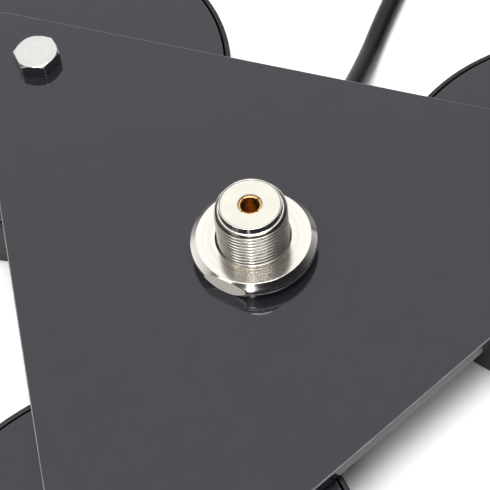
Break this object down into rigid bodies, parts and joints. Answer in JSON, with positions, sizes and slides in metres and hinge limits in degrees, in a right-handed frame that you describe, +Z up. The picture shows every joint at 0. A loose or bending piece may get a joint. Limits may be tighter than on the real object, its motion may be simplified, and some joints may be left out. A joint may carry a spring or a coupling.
{
  "type": "magnetic antenna mount",
  "caption": "Triangular black plate on magnet discs under its corners, with a threaded coaxial socket in the middle for an antenna, and a coiled lead that ends in a plug with a turning nut.",
  "frame": {"origin": "middle of the footprint of the plate and magnets, on the standing surface; the socket's axis is 19.55 mm along +Y from it", "axes": "+Z up along the socket's axis, +Y the way the lead leaves under the plate's back edge, +X to the right"},
  "size_m": [0.2363, 0.34, 0.0351],
  "materials": {
    "plate_paint": "smooth black paint with a clear sheen",
    "cup_paint": "smooth black paint",
    "ferrite": "dull dark grey ceramic magnet",
    "ring_rubber": "smooth black rubber",
    "bolt_nickel": "bright nickel plating",
    "zinc": "zinc plating",
    "socket_nickel": "bright nickel plating over brass",
    "socket_white": "white insulator",
    "gold": "gold plating",
    "seal_rubber": "flat black rubber",
    "sleeve_vinyl": "black sleeve",
    "lead_vinyl": "glossy black vinyl jacket",
    "tie_nylon": "black nylon",
    "plug_nickel": "bright nickel plating",
    "plug_white": "white insulator"
  },
  "bodies": {
    "mount": {"mount_plate": "plate_paint", "magnet_cup_left": "cup_paint", "magnet_cup_right": "cup_paint", "magnet_cup_front": "cup_paint", "ferrite_ring_left": "ferrite", "ferrite_ring_right": "ferrite", "ferrite_ring_front": "ferrite", "rubber_ring_left": "ring_rubber", "rubber_ring_right": "ring_rubber", "rubber_ring_front": "ring_rubber", "hex_bolt_left": "bolt_nickel", "hex_bolt_right": "bolt_nickel", "hex_bolt_front": "bolt_nickel", "spacer_washer_left": "zinc", "spacer_washer_right": "zinc", "spacer_washer_front": "zinc", "lock_nut_left": "zinc", "lock_nut_right": "zinc", "lock_nut_front": "zinc", "socket_shell": "socket_nickel", "ring_nut": "socket_nickel", "body_cap": "socket_nickel", "crimp_ferrule": "socket_nickel", "socket_dielectric": "socket_white", "centre_contact": "gold", "plug_pin": "gold", "seal_washer": "seal_rubber", "strain_relief": "sleeve_vinyl", "plug_boot": "sleeve_vinyl", "lead_tube": "lead_vinyl", "lead_tail": "lead_vinyl", "lead_coil": "lead_vinyl", "lead_tie": "tie_nylon", "plug_body": "plug_nickel", "plug_insulator": "plug_white"},
    "coupling_nut_body": {"coupling_nut": "plug_nickel"}
  },
  "joints": [
    {"name": "coupling_spin", "type": "hinge", "parent": "mount", "child": "coupling_nut_body", "pos_m": [0.113, 0.12291, 0.01055], "axis": [0, -0.9925, 0.1219], "continuous": true}
  ]
}
